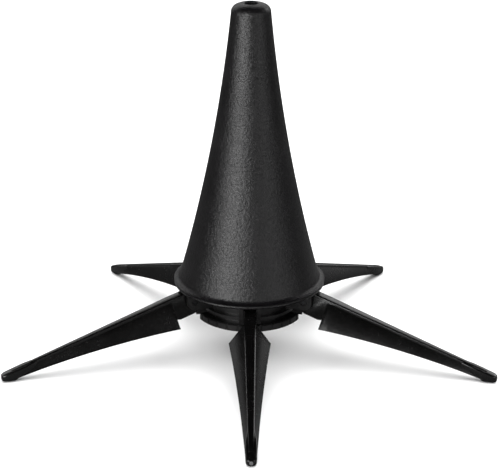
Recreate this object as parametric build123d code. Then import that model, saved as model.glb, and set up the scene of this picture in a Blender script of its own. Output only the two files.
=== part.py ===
from build123d import *
import math
import os

# Folding in-bell stand for a cornet or trumpet: a hollow cone peg on a five-legged base.
# Millimetres, +Z up. The origin is the point on the floor straight below the cone's axis, and the
# first leg points along -Y. The stand is modelled opened out, as it is used.

# ---- legs and their places ------------------------------------------------------------------
LEG_NAMES = ["front", "right", "back_right", "back_left", "left"]
LEG_STEP = 360 / len(LEG_NAMES)
FIRST_LEG = -90.0                  # direction of the front leg, degrees from +X
PIVOT_R, PIVOT_Z = 28.0, 29.5      # centre of every leg's pivot
LEG_SLOPE = 19.0                   # fall of an opened leg, degrees
LEG_FOLD = 80.0                    # how far a leg folds down from there, degrees
TOP_LINE = 5.4                     # the leg's flat top above the pivot, square to the leg
TONGUE_DEPTH = 6.2                 # the root bar's underside below the pivot
TONGUE_HALF = 2.7                  # half the root bar's width
TONGUE_R = 4.6                     # round inner end of the root bar
STOP_R = 6.4                       # reach of the nose that meets the stop
STOP_ANGLE = 128.0                 # direction of the stop face from the pivot, opened out
TOE_LINE = 118.0                   # where the flat top ends, from the axis
TOE_HALF = 2.45                    # half the width of the leg's round-nosed end
WALL = 1.15                        # wall of the leg's two wings

# ---- pivots ---------------------------------------------------------------------------------
PIN_R, PIN_PLAY = 1.5, 0.05
SLOT_HALF = 3.0                    # half the gap between a pair of ears
EAR_THICK = 1.95
EAR_R = 3.8                        # round outer end of an ear
EAR_TOP = 35.1

# ---- hub ------------------------------------------------------------------------------------
FLANGE_LOW, FLANGE_HIGH, FLANGE_R = 19.8, 23.1, 25.4
SLOT_FLOOR = 19.6                  # the flange's slots run in to here
RIM_NOTCHES = 30                   # notch pitch round the flange; the slots take five of them
DRUM_R, DRUM_TOP = 20.0, 36.2
RIDGE_R, RIDGE_LOW, RIDGE_HIGH = 22.5, 24.4, 25.7
SHELF_R, SHELF_LOW = 27.0, 34.2
SCREW_R, SCREW_TOP = 2.45, 47.2
HEAD_R, HEAD_POCKET = 4.8, 1.9

# ---- cone and the plug it sits on ------------------------------------------------------------
LIP_R, LIP_LOW, LIP_THICK = 36.2, 35.4, 1.8
MOUTH_R, LEDGE_Z, LEDGE_R = 29.6, 41.0, 27.4
MOUTH_FLARE = 1.8                  # lead-in at the mouth, clear of the turning legs
CONE_WALL = 2.0
FOOT_OF_WALL = (31.05, 44.3)       # three points on the cone's long hollow curve
MID_OF_WALL = (18.26, 100.4)
TOP_OF_WALL = (9.05, 164.7)
CONE_TOP = 168.8
TOP_HOLE_R = 3.1
PLUG_R = 29.5
RING_Z, RING_INNER, RING_OUTER, RING_HALF = 38.5, 27.85, 29.56, 0.85


def turned(points):
    """A solid of revolution about Z from a closed line of (radius, height) points."""
    face = make_face(Polyline(*[(r, 0, z) for r, z in points], close=True))
    return revolve(face, Axis.Z)


def disc(radius, low, high):
    """A plain upright cylinder between two heights."""
    return Pos(0, 0, low) * Cylinder(radius, high - low, align=(Align.CENTER, Align.CENTER, Align.MIN))


def side_plate(outline, low_y, high_y):
    """A plate whose (radius, height) outline stands in the leg's plane, between two widths."""
    plate = extrude(Plane.XZ * outline, -(high_y - low_y))
    return Pos(0, low_y, 0) * plate


def edge_at(solid, radius, height):
    """The circular edge round the axis nearest a given radius and height."""
    rings = solid.edges().filter_by(GeomType.CIRCLE)
    return rings.sort_by(lambda e: abs(e.radius - radius) + abs(e.arc_center.Z - height))[0]


def leg_angle(index):
    return FIRST_LEG + index * LEG_STEP


def at_leg(solid, index):
    """Turn a piece made along +X to the place of one leg."""
    return Rot(0, 0, leg_angle(index)) * solid


# ---- cone -----------------------------------------------------------------------------------
def make_cone():
    """Thin hollow cone with a turned-out lip, an open mouth and a hole in its round nose."""
    r_foot, z_foot = FOOT_OF_WALL
    slope = 0.25                                   # the wall's lean where it meets the lip
    r_low = r_foot + slope * (z_foot - LIP_LOW - LIP_THICK)
    outer = ThreePointArc(FOOT_OF_WALL, MID_OF_WALL, TOP_OF_WALL)
    inner = ThreePointArc((6.95, CONE_TOP - 5.3), (MID_OF_WALL[0] - CONE_WALL, MID_OF_WALL[1]),
                          (r_foot - CONE_WALL - 0.3, z_foot + 1.4))
    edge = LIP_R - LIP_THICK / 2
    lines = [
        Line((MOUTH_R + MOUTH_FLARE, LIP_LOW), (edge, LIP_LOW)),
        ThreePointArc((edge, LIP_LOW), (LIP_R, LIP_LOW + LIP_THICK / 2), (edge, LIP_LOW + LIP_THICK)),
        Line((edge, LIP_LOW + LIP_THICK), (r_low, LIP_LOW + LIP_THICK)),
        Line((r_low, LIP_LOW + LIP_THICK), FOOT_OF_WALL),
        outer,
        ThreePointArc(TOP_OF_WALL, (8.5, CONE_TOP - 2.1), (7.1, CONE_TOP - 0.9)),
        ThreePointArc((7.1, CONE_TOP - 0.9), (5.4, CONE_TOP - 0.25), (3.7, CONE_TOP)),
        Line((3.7, CONE_TOP), (TOP_HOLE_R, CONE_TOP - 0.5)),
        Line((TOP_HOLE_R, CONE_TOP - 0.5), (TOP_HOLE_R, CONE_TOP - 2.9)),
        Line((TOP_HOLE_R, CONE_TOP - 2.9), (6.95, CONE_TOP - 5.3)),
        inner,
        Line((r_foot - CONE_WALL - 0.3, z_foot + 1.4), (LEDGE_R, LEDGE_Z + 2.0)),
        Line((LEDGE_R, LEDGE_Z + 2.0), (LEDGE_R, LEDGE_Z)),
        Line((LEDGE_R, LEDGE_Z), (MOUTH_R, LEDGE_Z)),
        Line((MOUTH_R, LEDGE_Z), (MOUTH_R, LIP_LOW + MOUTH_FLARE)),
        Line((MOUTH_R, LIP_LOW + MOUTH_FLARE), (MOUTH_R + MOUTH_FLARE, LIP_LOW)),
    ]
    profile = Plane.XZ * make_face(lines)
    cone = revolve(profile, Axis.Z)
    return fillet(edge_at(cone, r_low, LIP_LOW + LIP_THICK), 2.2)


def make_cone_plug():
    """Round plug on top of the hub that the cone's mouth pushes over, with a ring groove."""
    plug = disc(PLUG_R, DRUM_TOP, LEDGE_Z)
    plug = chamfer(edge_at(plug, PLUG_R, LEDGE_Z), 0.8)
    groove = disc(PLUG_R + 1, RING_Z - 0.95, RING_Z + 0.95) - disc(RING_INNER - 0.05, 0, 60)
    recess = disc(24.0, LEDGE_Z - 2.2, LEDGE_Z) - disc(8.0, 0, 60)
    ribs = [Rot(0, 0, 36 + i * LEG_STEP) * Pos(16, 0, LEDGE_Z - 1.2) * Box(17, 1.6, 2.4)
            for i in range(len(LEG_NAMES))]
    plug = plug - groove - recess + ribs
    return plug - disc(SCREW_R + 0.05, 30, 60)


def make_grip_ring():
    """Rubber ring in the plug's groove that holds the cone by friction."""
    low, high, soft = RING_Z - RING_HALF, RING_Z + RING_HALF, 0.5
    ring = turned([(RING_INNER, low), (RING_OUTER - soft, low), (RING_OUTER, low + soft),
                   (RING_OUTER, high - soft), (RING_OUTER - soft, high), (RING_INNER, high)])
    return ring


# ---- hub ------------------------------------------------------------------------------------
def ear_outline():
    """An ear seen from the side: straight up from a quarter-round lower outer corner."""
    low = PIVOT_Z - EAR_R
    return make_face([
        Line((DRUM_R - 1, low), (PIVOT_R, low)),
        ThreePointArc((PIVOT_R, low), (PIVOT_R + EAR_R * math.sqrt(0.5), PIVOT_Z - EAR_R * math.sqrt(0.5)),
                      (PIVOT_R + EAR_R, PIVOT_Z)),
        Line((PIVOT_R + EAR_R, PIVOT_Z), (PIVOT_R + EAR_R, EAR_TOP)),
        Line((PIVOT_R + EAR_R, EAR_TOP), (DRUM_R - 1, EAR_TOP)),
        Line((DRUM_R - 1, EAR_TOP), (DRUM_R - 1, low)),
    ])


def stop_block():
    """Block between two ears that the leg's nose meets when the leg is fully open."""
    way = math.radians(STOP_ANGLE + 0.3)
    rise = DRUM_TOP - PIVOT_Z
    back = PIVOT_R + rise / math.tan(way)
    shape = Polyline((DRUM_R - 0.5, PIVOT_Z + 0.9), (PIVOT_R - 4, PIVOT_Z + 0.65), (PIVOT_R, PIVOT_Z),
                     (back, DRUM_TOP), (DRUM_R - 0.5, DRUM_TOP), close=True)
    block = side_plate(make_face(shape), -SLOT_HALF, SLOT_HALF)
    room = Pos(PIVOT_R, 0, PIVOT_Z) * Rot(90, 0, 0) * Cylinder(TONGUE_R + 0.2, 8)
    return block - room


def make_hub_body():
    """Drum with a ridge below, a shelf above and five pairs of ears for the legs."""
    hub = disc(DRUM_R, FLANGE_HIGH, DRUM_TOP) + disc(RIDGE_R, RIDGE_LOW, RIDGE_HIGH)
    hub += disc(RIDGE_R - 1.2, FLANGE_HIGH, RIDGE_LOW) + disc(SHELF_R, SHELF_LOW, DRUM_TOP)
    slot = Pos(DRUM_R + 10, 0, 30) * Box(20, 2 * SLOT_HALF, 30)
    ear = side_plate(ear_outline(), SLOT_HALF, SLOT_HALF + EAR_THICK)
    ears = ear + mirror(ear, Plane.XZ)
    bore = Pos(PIVOT_R, 0, PIVOT_Z) * Rot(90, 0, 0) * Cylinder(PIN_R, 20)
    for index in range(len(LEG_NAMES)):
        hub = hub - at_leg(slot, index) + at_leg(ears, index) + at_leg(stop_block(), index)
    for index in range(len(LEG_NAMES)):
        hub = hub - at_leg(bore, index)
    return hub - disc(SCREW_R + 0.05, 10, 60)


def make_base_flange():
    """Plate under the drum with a slot for each leg, fine notches in its rim and a screw pocket."""
    plate = disc(FLANGE_R, FLANGE_LOW, FLANGE_HIGH)
    plate = chamfer(edge_at(plate, FLANGE_R, FLANGE_HIGH), 0.45)
    plate = chamfer(edge_at(plate, FLANGE_R, FLANGE_LOW), 0.3)
    notch = Pos(FLANGE_R, 0, 0) * Box(0.8, 0.7, 80)
    slot = Pos(SLOT_FLOOR + 10, 0, 0) * Box(20, 2 * SLOT_HALF, 80)
    for index in range(len(LEG_NAMES)):
        plate = plate - at_leg(slot, index)
    per_gap = RIM_NOTCHES // len(LEG_NAMES)
    for step in range(RIM_NOTCHES):
        if step % per_gap:
            plate = plate - Rot(0, 0, FIRST_LEG + step * 360 / RIM_NOTCHES) * notch
    pocket = disc(HEAD_R + 0.5, FLANGE_LOW, FLANGE_LOW + HEAD_POCKET)
    ring_pocket = disc(15.5, FLANGE_LOW, FLANGE_LOW + 1.0) - disc(8.5, 0, 60)
    return plate - pocket - ring_pocket - disc(SCREW_R + 0.05, 0, 60)


def make_centre_screw():
    """Pan-head screw up through the flange, drum and plug, with a cross recess."""
    head_high = FLANGE_LOW + HEAD_POCKET
    head = disc(HEAD_R, head_high - 1.7, head_high)
    head = fillet(edge_at(head, HEAD_R, head_high - 1.7), 0.7)
    screw = head + disc(SCREW_R, head_high, SCREW_TOP)
    screw = chamfer(edge_at(screw, SCREW_R, SCREW_TOP), 0.5)
    arm = Pos(0, 0, head_high - 1.7) * Box(4.6, 1.0, 2.0)
    return screw - arm - Rot(0, 0, 90) * arm


def make_centre_washer():
    """Flat washer on the plug's middle."""
    return disc(5.5, LEDGE_Z, LEDGE_Z + 1) - disc(SCREW_R + 0.15, 0, 60)


def make_centre_nut():
    """Hexagon nut on the screw's upper end, inside the cone."""
    low = LEDGE_Z + 1
    nut = Pos(0, 0, low) * extrude(RegularPolygon(4.6, 6), 4.0)
    return nut - disc(SCREW_R + 0.02, 0, 60)


# ---- legs -----------------------------------------------------------------------------------
def to_stand(solid):
    """Lay a leg made along its own straight top line into its opened place at +X."""
    return Pos(PIVOT_R, 0, PIVOT_Z) * Rot(0, LEG_SLOPE, 0) * solid


def wing_section(along):
    """Channel section square to the leg: a proud flat top strip with a wing flaring each side."""
    left = 97.0 - along                                   # distance left to the toe
    web = 1.2 + 0.0175 * left                             # half-width of the top strip
    wing = 2.45 + 0.0496 * left + 0.000386 * left ** 2       # half-width across the wings
    low = -6.5 + 0.138 * (along - 15.3) - 0.001 * (along - 15.3) * (along - 55.1)
    step = 0.7 * min(1.0, left / 40)
    side = [
        (web - 0.7, TOP_LINE), (web, TOP_LINE - step / 2), (web, TOP_LINE - step), (wing, low + 0.3),
        (wing - 0.25, low), (wing - 0.25 - 0.9 * WALL, low), (web - 0.45, TOP_LINE - step - 1.3 * WALL),
    ]
    ring = side + [(-y, z) for y, z in reversed(side)]
    return Plane(origin=(along, 0, 0), x_dir=(0, 1, 0), z_dir=(1, 0, 0)) * make_face(
        Polyline(*ring, close=True))


def tongue():
    """Root bar of a leg: round inner end, stop nose, and a rib that runs out under the top strip."""
    way = math.radians(STOP_ANGLE + LEG_SLOPE)
    bar = make_face(Polyline(
        (-math.sqrt(STOP_R ** 2 - TOP_LINE ** 2), TOP_LINE), (9.4, TOP_LINE), (10, TOP_LINE - 1),
        (34, TOP_LINE - 1), (34, 1.6), (12, -TONGUE_DEPTH + 1.2), (9, -TONGUE_DEPTH),
        (1.5, -TONGUE_DEPTH), (0.9, -4.5), (0, 0),
        (STOP_R * math.cos(way), STOP_R * math.sin(way)), close=True))
    return side_plate(bar + Circle(TONGUE_R), -TONGUE_HALF, TONGUE_HALF)


def toe():
    """Blunt round-nosed end of the leg, in the stand's own frame, along +X."""
    drop = math.tan(math.radians(LEG_SLOPE))
    top = PIVOT_Z + TOP_LINE / math.cos(math.radians(LEG_SLOPE)) - drop * (TOE_LINE - PIVOT_R)
    back = 108.0
    outline = make_face(Polyline(
        (back, top + drop * (TOE_LINE - back)), (TOE_LINE, top), (119.0, top - 0.9), (119.4, top - 2.0),
        (119.2, 1.2), (118.6, 0.5), (112.6, 0.5), (back, 3.3), close=True))
    block = side_plate(outline, -TOE_HALF, TOE_HALF)
    reach = 119.5 - back + 2 * TOE_HALF
    plan = Pos(119.5 - reach / 2, 0) * SlotOverall(reach, 2 * TOE_HALF)
    return block & extrude(plan, 20)


def foot_block():
    """Room for the rubber foot in the toe."""
    return Pos(116.35, 0, 1.5) * Box(6.5, 2.7, 3.0)


def make_leg():
    """One tapering leg in its opened place along +X."""
    stations = [8.2, 24.0, 42.0, 62.0, 80.0, 88.5]
    wings = loft([wing_section(x) for x in stations])
    # each wing's inner end curves in under the top strip and leans out towards its lower corner
    lean = make_face([
        Line((0, 5.5), (8.2, 5.5)), Line((8.2, 5.5), (8.2, 4.9)),
        ThreePointArc((8.2, 4.9), (9.7, 4.4), (10.2, 3.0)), Line((10.2, 3.0), (11.35, -6.0)),
        Line((11.35, -6.0), (11.35, -12)), Line((11.35, -12), (0, -12)), Line((0, -12), (0, 5.5)),
    ])
    wings = wings - side_plate(lean, -20, 20)
    bar = tongue()
    pin_room = Rot(90, 0, 0) * Cylinder(PIN_R + PIN_PLAY, 20)
    leg = to_stand(wings + bar - pin_room)
    return leg + toe() - foot_block()


def make_foot():
    """Rubber foot in the toe, the part that stands on the floor."""
    block = foot_block()
    outer = block.edges().filter_by(lambda e: e.center().Z < 0.1 or e.center().X > 119.5)
    return fillet(outer, 0.5)


def make_pivot_pin():
    """Plain pin through a pair of ears and a leg's root."""
    length = 2 * (SLOT_HALF + EAR_THICK) - 0.5
    pin = Pos(PIVOT_R, 0, PIVOT_Z) * Rot(90, 0, 0) * Cylinder(PIN_R, length)
    return chamfer(pin.edges().filter_by(GeomType.CIRCLE), 0.25)


def main():
    os.makedirs("parts", exist_ok=True)
    pieces = {
        "cone": make_cone(),
        "cone_plug": make_cone_plug(),
        "grip_ring": make_grip_ring(),
        "hub_body": make_hub_body(),
        "base_flange": make_base_flange(),
        "centre_screw": make_centre_screw(),
        "centre_washer": make_centre_washer(),
        "centre_nut": make_centre_nut(),
    }
    leg, foot, pin = make_leg(), make_foot(), make_pivot_pin()
    for index, name in enumerate(LEG_NAMES):
        pieces["leg_" + name] = at_leg(leg, index)
        pieces["foot_" + name] = at_leg(foot, index)
        pieces["pivot_pin_" + name] = at_leg(pin, index)
    for name, solid in pieces.items():
        export_step(solid, os.path.join("parts", name + ".step"))


main()
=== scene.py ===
import math

import bmesh
import bpy
from mathutils import Matrix, Quaternion, Vector


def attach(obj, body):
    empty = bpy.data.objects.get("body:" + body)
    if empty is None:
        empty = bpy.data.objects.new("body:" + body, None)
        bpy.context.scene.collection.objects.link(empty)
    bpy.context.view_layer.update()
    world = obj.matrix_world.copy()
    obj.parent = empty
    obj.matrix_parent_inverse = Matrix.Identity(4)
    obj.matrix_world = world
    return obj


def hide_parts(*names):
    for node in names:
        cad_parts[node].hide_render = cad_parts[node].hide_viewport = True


# Looks of a folding in-bell stand: a hollow cone peg on a hub with five folding legs.
# Lengths below are in millimetres and are turned into metres where meshes are made.

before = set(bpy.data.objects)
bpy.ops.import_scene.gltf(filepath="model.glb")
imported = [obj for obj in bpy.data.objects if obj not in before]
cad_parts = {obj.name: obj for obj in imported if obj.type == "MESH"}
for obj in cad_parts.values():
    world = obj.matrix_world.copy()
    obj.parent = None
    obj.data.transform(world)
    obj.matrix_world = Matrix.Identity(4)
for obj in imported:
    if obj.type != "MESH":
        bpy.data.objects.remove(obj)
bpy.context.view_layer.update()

MM = 0.001
LEG_NAMES = ["front", "right", "back_right", "back_left", "left"]
FIRST_LEG = -90.0                  # direction of the front leg, degrees from +X
LEG_STEP = 360.0 / len(LEG_NAMES)
PIVOT_R, PIVOT_Z = 28.0, 29.5
LEG_SLOPE = math.radians(19.0)
TOP_LINE = 5.4                     # the leg's flat top above the pivot, square to the leg
ROOT_HALF = 2.7                    # half the width of the leg's root bar
TAPER_END = 97.0                   # what the leg's taper is worked from, along the leg from the pivot
WALL = 1.15                        # wall of the leg's wings


# ---- camera, floor and light ----------------------------------------------------------------
def make_camera():
    """A long lens looking down on the stand from in front, rolled a little."""
    place = Vector((-9.6, -822.3, 377.8)) * MM
    target = Vector((0.2, 0, 58.3)) * MM
    roll = Quaternion((0, 0, 1), 0.007)     # radians, about the line of sight
    camera = bpy.data.objects.new("camera", bpy.data.cameras.new("camera"))
    camera.data.lens = 136.4
    camera.data.sensor_width = 36.0
    camera.data.clip_start = 0.01
    camera.data.clip_end = 20.0
    camera.location = place
    camera.rotation_euler = ((target - place).to_track_quat("-Z", "Y") @ roll).to_euler()
    bpy.context.scene.collection.objects.link(camera)
    bpy.context.scene.camera = camera


def area_light(name, place, target, size, power):
    """A soft rectangular studio light aimed at a point, in metres and watts."""
    light = bpy.data.lights.new(name, "AREA")
    light.shape = "RECTANGLE"
    light.size, light.size_y = size
    light.energy = power
    holder = bpy.data.objects.new(name, light)
    holder.location = place
    holder.rotation_euler = (Vector(target) - Vector(place)).to_track_quat("-Z", "Y").to_euler()
    holder.visible_camera = False
    bpy.context.scene.collection.objects.link(holder)
    return holder


def paint(name, grey):
    """Dull plain paint for the set."""
    material = bpy.data.materials.new(name)
    material.use_nodes = True
    shader = material.node_tree.nodes["Principled BSDF"]
    shader.inputs["Base Color"].default_value = (grey, grey, grey, 1)
    shader.inputs["Roughness"].default_value = 0.9
    shader.inputs["Specular IOR Level"].default_value = 0.0
    return material


def sheet(name, points, material):
    """A flat single-sided sheet of the set, in metres."""
    mesh = bpy.data.meshes.new(name)
    mesh.from_pydata(points, [], [tuple(range(len(points)))])
    mesh.materials.append(material)
    thing = bpy.data.objects.new(name, mesh)
    bpy.context.scene.collection.objects.link(thing)
    return thing


def only_in_reflections(thing):
    """Hide a sheet of the set from everything but reflections."""
    thing.visible_camera = thing.visible_diffuse = thing.visible_shadow = False


def make_set():
    """Pale floor. In reflections it reaches only a little way, and a black cloth hangs overhead."""
    pale = paint("floor_paint", 0.86)
    floor = sheet("floor", [(-6, -6, 0), (6, -6, 0), (6, 6, 0), (-6, 6, 0)], pale)
    floor.visible_glossy = False
    ring = [(0.05 + 0.19 * math.cos(a), 0.19 * math.sin(a), 0.0001)
            for a in (2 * math.pi * k / 64 for k in range(64))]
    only_in_reflections(sheet("near_floor", ring, paint("dull_floor", 0.12)))
    cloth = [(-1.6, -1.5, 1.2), (1.6, -1.5, 1.2), (1.6, 1.6, 1.2), (-1.6, 1.6, 1.2)]
    only_in_reflections(sheet("flag", cloth, paint("black_cloth", 0.0)))


def make_studio():
    """Pale floor, even surroundings, a soft light overhead and long soft boxes for the sheen."""
    make_set()
    world = bpy.data.worlds.new("studio")
    bpy.context.scene.world = world
    world.use_nodes = True
    world.node_tree.nodes["Background"].inputs["Color"].default_value = (1, 1, 1, 1)
    world.node_tree.nodes["Background"].inputs["Strength"].default_value = 0.09

    overhead = area_light("overhead", (0, 0, 1.6), (0, 0, 0), (3.0, 3.0), 90)
    overhead.visible_glossy = False
    area_light("key_left", (-0.49, -0.64, 0.175), (0, 0, 0.1), (0.54, 0.31), 6.0)
    area_light("fill_right", (0.7, -0.72, 0.28), (0, 0, 0.1), (0.7, 0.45), 2.2)
    area_light("back_strip", (0, 1.5, 0.78), (0, 0, 0.03), (3.6, 0.45), 8.5)
    for side, power in ((-1, 1.2), (1, 2.4)):
        area_light("rim_light", (1.3 * side, 1.2, 0.75), (0, 0, 0.05), (0.7, 0.5), power)
    area_light("side_right", (0.7, 0.9, 0.25), (0, 0, 0.1), (1.1, 0.5), 0.35)


# ---- materials ------------------------------------------------------------------------------
class Nodes:
    """Small helper that adds and links the nodes of one material."""

    def __init__(self, name):
        self.material = bpy.data.materials.new(name)
        self.material.use_nodes = True
        self.tree = self.material.node_tree
        self.shader = self.tree.nodes["Principled BSDF"]
        self.place = self.add("ShaderNodeTexCoord").outputs["Object"]

    def add(self, kind, **values):
        node = self.tree.nodes.new(kind)
        for key, value in values.items():
            setattr(node, key, value)
        return node

    def link(self, a, b):
        self.tree.links.new(a, b)

    def stretched(self, scale):
        """Object coordinates scaled along each axis."""
        mapping = self.add("ShaderNodeMapping")
        mapping.inputs["Scale"].default_value = scale
        self.link(self.place, mapping.inputs["Vector"])
        return mapping.outputs["Vector"]

    def noise(self, scale, detail=3.0, rough=0.5, where=None):
        node = self.add("ShaderNodeTexNoise")
        node.inputs["Scale"].default_value = scale
        node.inputs["Detail"].default_value = detail
        node.inputs["Roughness"].default_value = rough
        self.link(where or self.place, node.inputs["Vector"])
        return node.outputs["Fac"]

    def ramp(self, value, stops):
        node = self.add("ShaderNodeValToRGB")
        elements = node.color_ramp.elements
        while len(elements) < len(stops):
            elements.new(0.5)
        for element, (at, colour) in zip(elements, stops):
            element.position = at
            element.color = (*colour, 1) if isinstance(colour, tuple) else (colour, colour, colour, 1)
        self.link(value, node.inputs["Fac"])
        return node.outputs["Color"]

    def spread(self, value, low, high):
        """A texture's 0.25..0.75 turned into low..high."""
        node = self.add("ShaderNodeMapRange")
        node.inputs["From Min"].default_value = 0.25
        node.inputs["From Max"].default_value = 0.75
        node.inputs["To Min"].default_value = low
        node.inputs["To Max"].default_value = high
        self.link(value, node.inputs["Value"])
        return node.outputs["Result"]

    def blend(self, a, b, share):
        """Two textures averaged, with the given share of the second."""
        node = self.add("ShaderNodeMix", data_type="FLOAT")
        node.inputs["Factor"].default_value = share
        self.link(a, node.inputs["A"])
        self.link(b, node.inputs["B"])
        return node.outputs["Result"]

    def bump(self, height, strength, distance):
        node = self.add("ShaderNodeBump")
        node.inputs["Strength"].default_value = strength
        node.inputs["Distance"].default_value = distance
        self.link(height, node.inputs["Height"])
        self.link(node.outputs["Normal"], self.shader.inputs["Normal"])


def plastic(name, dark, light, rough, grain, depth):
    """Moulded black plastic: cloudy gloss, a mottled skin with a fine grain, and sparse dust specks."""
    n = Nodes(name)
    cloud = n.noise(55.0, 4.0, 0.55)
    skin = n.noise(700.0, 3.0, 0.65)
    fine = n.noise(grain, 2.0, 0.6)
    shade_of = n.ramp(n.blend(cloud, skin, 0.35), [(0.33, dark), (0.7, light)])
    specks = n.ramp(n.noise(1500.0, 1.0, 0.5), [(0.735, 0.0), (0.78, 1.0)])
    dusty = n.add("ShaderNodeMix", data_type="RGBA")
    n.link(specks, dusty.inputs["Factor"])
    n.link(shade_of, dusty.inputs["A"])
    dusty.inputs["B"].default_value = (0.018, 0.0175, 0.017, 1)
    n.link(dusty.outputs["Result"], n.shader.inputs["Base Color"])
    n.link(n.spread(n.blend(cloud, skin, 0.5), rough - 0.09, rough + 0.11), n.shader.inputs["Roughness"])
    n.bump(n.blend(fine, skin, 0.7), 0.5, depth)
    return n.material


def rubber(name):
    """Dull, very dark grey rubber."""
    n = Nodes(name)
    cloud = n.noise(300.0, 4.0, 0.6)
    n.link(n.ramp(cloud, [(0.3, (0.045, 0.045, 0.046)), (0.7, (0.085, 0.085, 0.087))]),
           n.shader.inputs["Base Color"])
    n.link(n.spread(cloud, 0.5, 0.7), n.shader.inputs["Roughness"])
    n.bump(n.noise(4200.0, 2.0, 0.6), 0.3, 0.00006)
    return n.material


def steel(name, colour, rough):
    """Plated or blackened steel with fine turning marks."""
    n = Nodes(name)
    lines = n.noise(900.0, 3.0, 0.6, n.stretched((1, 1, 14)))
    cloud = n.noise(160.0, 3.0, 0.5)
    darker = tuple(c * 0.75 for c in colour)
    n.link(n.ramp(cloud, [(0.35, darker), (0.7, colour)]), n.shader.inputs["Base Color"])
    n.link(n.spread(lines, rough - 0.08, rough + 0.1), n.shader.inputs["Roughness"])
    n.bump(lines, 0.2, 0.00004)
    n.shader.inputs["Metallic"].default_value = 1.0
    return n.material


# ---- mesh helpers ---------------------------------------------------------------------------
def new_object(name, points, faces):
    """A mesh object from points in millimetres."""
    mesh = bpy.data.meshes.new(name)
    mesh.from_pydata([tuple(c * MM for c in p) for p in points], [], faces)
    mesh.update()
    thing = bpy.data.objects.new(name, mesh)
    bpy.context.scene.collection.objects.link(thing)
    return thing


def shade(thing, angle):
    """Smooth shading with edges sharper than the angle left crisp."""
    thing.data.shade_smooth()
    thing.data.set_sharp_from_angle(angle=math.radians(angle))


def arc(a, b, c, steps):
    """Points on the arc from a through b to c, without a itself."""
    (ax, ay), (bx, by), (cx, cy) = a, b, c
    d = 2 * (ax * (by - cy) + bx * (cy - ay) + cx * (ay - by))
    ux = ((ax ** 2 + ay ** 2) * (by - cy) + (bx ** 2 + by ** 2) * (cy - ay)
          + (cx ** 2 + cy ** 2) * (ay - by)) / d
    uy = ((ax ** 2 + ay ** 2) * (cx - bx) + (bx ** 2 + by ** 2) * (ax - cx)
          + (cx ** 2 + cy ** 2) * (bx - ax)) / d
    radius = math.hypot(ax - ux, ay - uy)
    start, end = math.atan2(ay - uy, ax - ux), math.atan2(cy - uy, cx - ux)
    turn = (end - start + math.pi) % (2 * math.pi) - math.pi
    return [(ux + radius * math.cos(start + turn * i / steps),
             uy + radius * math.sin(start + turn * i / steps)) for i in range(1, steps + 1)]


def lathe(name, profile, segments):
    """Closed ring-shaped solid from a closed line of (radius, height) points."""
    count = len(profile)
    points, faces = [], []
    for s in range(segments):
        a = 2 * math.pi * s / segments
        points += [(r * math.cos(a), r * math.sin(a), z) for r, z in profile]
        t = (s + 1) % segments
        faces += [(s * count + i, t * count + i, t * count + (i + 1) % count, s * count + (i + 1) % count)
                  for i in range(count)]
    thing = new_object(name, points, faces)
    outward(thing)
    return thing


def outward(thing):
    """Face normals pointing out of the solid."""
    work = bmesh.new()
    work.from_mesh(thing.data)
    bmesh.ops.recalc_face_normals(work, faces=work.faces)
    work.to_mesh(thing.data)
    work.free()


def loft(name, rings):
    """Closed solid through rings of equal length."""
    count = len(rings[0])
    points = [p for ring in rings for p in ring]
    faces = []
    for k in range(len(rings) - 1):
        faces += [(k * count + i, k * count + (i + 1) % count, (k + 1) * count + (i + 1) % count,
                   (k + 1) * count + i) for i in range(count)]
    last = (len(rings) - 1) * count
    faces.append(tuple(range(count)))
    faces.append(tuple(last + i for i in range(count)))
    thing = new_object(name, points, faces)
    outward(thing)
    return thing


def bevel(thing, width, segments, angle):
    """Rounded edges, width in millimetres, where faces meet at more than the angle."""
    modifier = thing.modifiers.new("round_edges", "BEVEL")
    modifier.width = width * MM
    modifier.segments = segments
    modifier.limit_method = "ANGLE"
    modifier.angle_limit = math.radians(angle)
    modifier.harden_normals = True


def applied(thing):
    """The mesh with its modifiers worked in."""
    bpy.context.view_layer.update()
    graph = bpy.context.evaluated_depsgraph_get()
    mesh = bpy.data.meshes.new_from_object(thing.evaluated_get(graph))
    thing.modifiers.clear()
    thing.data = mesh
    return thing


def joined(name, things):
    """One object from several, all at the origin."""
    work = bmesh.new()
    for thing in things:
        work.from_mesh(thing.data)
    mesh = bpy.data.meshes.new(name)
    work.to_mesh(mesh)
    work.free()
    for thing in things:
        bpy.data.objects.remove(thing)
    result = bpy.data.objects.new(name, mesh)
    bpy.context.scene.collection.objects.link(result)
    return result


# ---- cone -----------------------------------------------------------------------------------
def cone_profile():
    """The cone's wall, lip, mouth and nose as one closed line of (radius, height) points."""
    foot, mid, top = (31.05, 44.3), (18.26, 100.4), (9.05, 164.7)
    low, high = 35.4, 37.2
    line = [(31.6, low), (35.1, low)]
    line += arc((35.1, low), (36.2, low + 0.85), (35.3, high - 0.1), 14)
    line += arc((35.3, high - 0.1), (33.5, 37.6), (32.55, 39.3), 14)
    line += arc((32.55, 39.3), (31.87, 41.5), foot, 10)
    line += arc(foot, mid, top, 64)
    line += arc(top, (8.5, 166.65), (7.1, 167.9), 10)
    line += arc((7.1, 167.9), (5.4, 168.52), (3.9, 168.8), 8)
    line += arc((3.9, 168.8), (3.3, 168.6), (3.1, 168.0), 5)
    line += [(3.1, 165.9), (3.3, 165.7), (6.7, 163.6)]
    line += arc((6.7, 163.6), (mid[0] - 2.0, mid[1]), (28.55, 45.7), 40)
    line += [(27.5, 43.2), (27.4, 42.9), (27.4, 41.1), (27.5, 41.0), (29.5, 41.0), (29.6, 40.9),
             (29.6, 37.3), (29.7, 37.1), (31.3, 35.55)]
    return line


def make_cone(material):
    cone = lathe("cone_shell", cone_profile(), 192)
    shade(cone, 40)
    cone.data.materials.append(material)
    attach(cone, "cone")
    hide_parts("cone")


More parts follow.
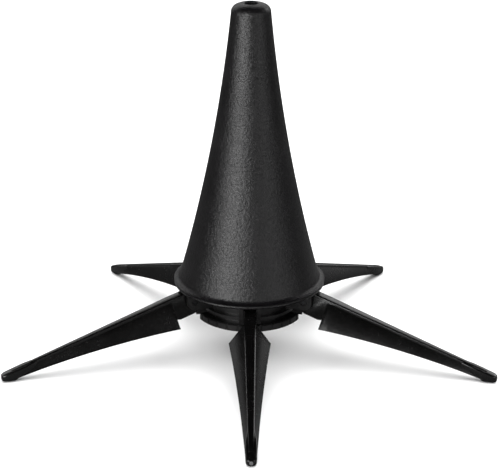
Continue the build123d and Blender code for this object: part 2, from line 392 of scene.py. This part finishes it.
# ---- legs -----------------------------------------------------------------------------------
def web_half(x):
    """Half the width of the leg's top strip, x along the leg from the pivot."""
    return min(ROOT_HALF, 1.2 + 0.0175 * (TAPER_END - x))


def wing_rings(side, stations):
    """Rings of one wing: a thin plate flaring out from under the top strip."""
    rings = []
    for x in stations:
        left = max(0.0, TAPER_END - x)
        web = web_half(x)
        wing = 2.06 + 0.059 * left + 0.00034 * left ** 2
        low = -6.5 + 0.138 * (x - 15.3) - 0.001 * (x - 15.3) * (x - 55.1)
        step = 0.7 * min(1.0, left / 40)
        section = [(web - 0.5, TOP_LINE - step), (wing, low + 0.3), (wing - 0.2, low),
                   (wing - 0.25 - 0.9 * WALL, low), (web - 0.6, TOP_LINE - step - 1.3 * WALL)]
        rings.append([(x, side * y, z) for y, z in section])
    return rings


def end_cutter():
    """Prism that shapes the wings' inner ends: curved in under the strip, leaning out lower down."""
    outline = [(4.0, 6.5), (8.4, 6.5), (8.4, 4.9)]
    outline += arc((8.4, 4.9), (9.75, 4.35), (10.2, 3.0), 8)
    outline += [(11.35, -6.0), (11.35, -12.0), (4.0, -12.0)]
    return loft("end_cutter", [[(x, y, z) for x, z in outline] for y in (-20.0, 20.0)])


def stop_cutter():
    """Prism that clears the hub's stop, below the leg's nose and outside its round inner end."""
    outline = [(-8.0, 5.24), (-8.0, -0.05), (-4.62, -0.05)]
    outline += arc((-4.62, -0.05), (-4.4, 1.41), (-3.87, 2.55), 6)
    return loft("stop_cutter", [[(x, y, z) for x, z in outline] for y in (-20.0, 20.0)])


def cut(thing, cutter):
    """The thing with the cutter's space taken out of it."""
    modifier = thing.modifiers.new("cut", "BOOLEAN")
    modifier.operation = "DIFFERENCE"
    modifier.object = cutter
    return applied(thing)


def spine_rings():
    """Rings of the root bar, the top strip and the rib under it, as one tapering bar."""
    heights = [(-5.3, 2.6, 3.6), (-3.45, -3.0, TOP_LINE), (-1.5, -4.35, TOP_LINE), (1.5, -6.2, TOP_LINE),
               (8.9, -6.2, TOP_LINE), (12.0, -4.9, TOP_LINE), (34.0, 1.5, TOP_LINE), (36.0, 3.2, TOP_LINE),
               (50.0, 3.2, TOP_LINE), (65.0, 3.2, TOP_LINE), (80.0, 3.3, TOP_LINE), (90.0, 3.5, TOP_LINE)]
    rings = []
    for x, low, high in heights:
        h = web_half(x)
        s = 0.35 if high == TOP_LINE else 0.1
        rings.append([(x, -h, low), (x, h, low), (x, h, high - s), (x, h - 2 * s, high),
                      (x, 2 * s - h, high), (x, -h, high - s)])
    return rings


def to_local(r, z):
    """A point in the stand's side view, seen along the leg's own line from the pivot."""
    dr, dz = r - PIVOT_R, z - PIVOT_Z
    return (dr * math.cos(LEG_SLOPE) - dz * math.sin(LEG_SLOPE),
            dr * math.sin(LEG_SLOPE) + dz * math.cos(LEG_SLOPE))


def soft_box_ring(r, half, low, high, corner, steps=4):
    """A ring with rounded corners square to the radius, in the leg's own frame."""
    corner = min(corner, half * 0.98, (high - low) * 0.49)
    ring = []
    for cy, cz, start in ((half - corner, high - corner, 0), (-half + corner, high - corner, 90),
                          (-half + corner, low + corner, 180), (half - corner, low + corner, 270)):
        for k in range(steps + 1):
            a = math.radians(start + 90 * k / steps)
            x, z = to_local(r, cz + corner * math.sin(a))
            ring.append((x, cy + corner * math.cos(a), z))
    return ring


def make_toe():
    """Blunt round end of the leg."""
    stations = [(103.0, 1.9, 5.6, 9.0), (108.0, 2.6, 3.4, 7.35), (111.4, 2.62, 2.2, 6.2),
                (112.6, 2.6, 0.9, 5.8), (113.5, 2.56, 0.5, 5.45), (115.5, 2.46, 0.45, 4.8),
                (117.0, 2.36, 0.45, 4.3),
                (118.0, 2.22, 0.5, 3.95), (118.7, 1.95, 0.6, 3.7), (119.15, 1.6, 0.75, 3.45),
                (119.38, 1.3, 0.95, 3.2)]
    return loft("toe", [soft_box_ring(r, half, low, high, 0.8) for r, half, low, high in stations])


def make_foot():
    """Rubber foot in the toe: a rounded bar whose end and underside stand a little proud."""
    stations = [(113.1, 0.9, 0.35, 2.4), (113.3, 1.15, 0.12, 2.6), (113.9, 1.32, 0.0, 2.8),
                (117.6, 1.35, 0.0, 3.0), (118.6, 1.1, 0.3, 3.0), (119.3, 0.82, 1.05, 3.0),
                (119.5, 0.74, 1.25, 2.9), (119.6, 0.5, 1.5, 2.65)]
    return loft("foot", [soft_box_ring(r, half, low, high, 0.7, 5) for r, half, low, high in stations])


def make_legs(leg_material, foot_material):
    """One leg and foot made along +X, then copied round the hub."""
    stations = [7.8, 12.0, 16.0, 22.0, 29.0, 36.0, 43.0, 50.0, 57.0, 64.0, 71.0, 78.0, 84.0, 89.0]
    parts = []
    cutter = end_cutter()
    for side in (-1, 1):
        wing = cut(loft("wing", wing_rings(side, stations)), cutter)
        bevel(wing, 0.45, 4, 75)
        bevel(wing, 0.2, 3, 25)
        parts.append(applied(wing))
    spine = loft("spine", spine_rings())
    bevel(spine, 0.25, 3, 20)
    bore = lathe("bore", [(0.001, -8), (1.55, -8), (1.55, 8), (0.001, 8)], 40)
    bore.data.transform(Matrix.Rotation(math.pi / 2, 4, "X"))
    stop = stop_cutter()
    parts.append(cut(cut(applied(spine), bore), stop))
    for tool in (bore, stop, cutter):
        bpy.data.objects.remove(tool)
    parts.append(make_toe())
    leg = joined("leg_pattern", parts)
    shade(leg, 35)
    foot = make_foot()
    shade(foot, 45)
    lay = Matrix.Translation((PIVOT_R * MM, 0, PIVOT_Z * MM)) @ Matrix.Rotation(LEG_SLOPE, 4, "Y")
    leg.data.transform(lay)
    foot.data.transform(lay)
    for index, name in enumerate(LEG_NAMES):
        turn = Matrix.Rotation(math.radians(FIRST_LEG + LEG_STEP * index), 4, "Z")
        for pattern, kind, node, material, slot in (
                (leg, "leg_shell_", "leg_", leg_material, "leg_plastic"),
                (foot, "foot_pad_", "foot_", foot_material, "rubber")):
            mesh = pattern.data.copy()
            mesh.transform(turn)
            piece = bpy.data.objects.new(kind + name, mesh)
            bpy.context.scene.collection.objects.link(piece)
            piece.data.materials.clear()
            piece.data.materials.append(material)
            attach(piece, "leg_" + name)
            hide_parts(node + name)
    bpy.data.objects.remove(leg)
    bpy.data.objects.remove(foot)


# ---- carried CAD nodes ----------------------------------------------------------------------
def dress(node, material, width=0.0):
    """Give a carried node its material and, if asked, softened edges."""
    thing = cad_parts[node]
    thing.data.materials.clear()
    thing.data.materials.append(material)
    if width:
        bevel(thing, width, 2, 40)


make_camera()
make_studio()

cone_plastic = plastic("cone_plastic", (0.0010, 0.0009, 0.0011), (0.0040, 0.0036, 0.0041),
                       0.36, 2600.0, 0.0009)
leg_plastic = plastic("leg_plastic", (0.0007, 0.0007, 0.0007), (0.0018, 0.0017, 0.0017),
                      0.22, 4200.0, 0.00005)
hub_plastic = plastic("hub_plastic", (0.0024, 0.0023, 0.0023), (0.0065, 0.0062, 0.0063),
                      0.32, 3800.0, 0.00007)
black_rubber = rubber("black_rubber")
plated = steel("plated_steel", (0.55, 0.55, 0.56), 0.34)
blackened = steel("blackened_steel", (0.05, 0.05, 0.052), 0.4)

make_cone(cone_plastic)
make_legs(leg_plastic, black_rubber)
dress("hub_body", hub_plastic, 0.2)
dress("base_flange", hub_plastic, 0.2)
dress("cone_plug", hub_plastic, 0.2)
dress("grip_ring", black_rubber)
for node in ("centre_screw", "centre_washer", "centre_nut"):
    dress(node, plated)
for name in LEG_NAMES:
    dress("pivot_pin_" + name, blackened)

bpy.context.scene.view_settings.view_transform = "Standard"
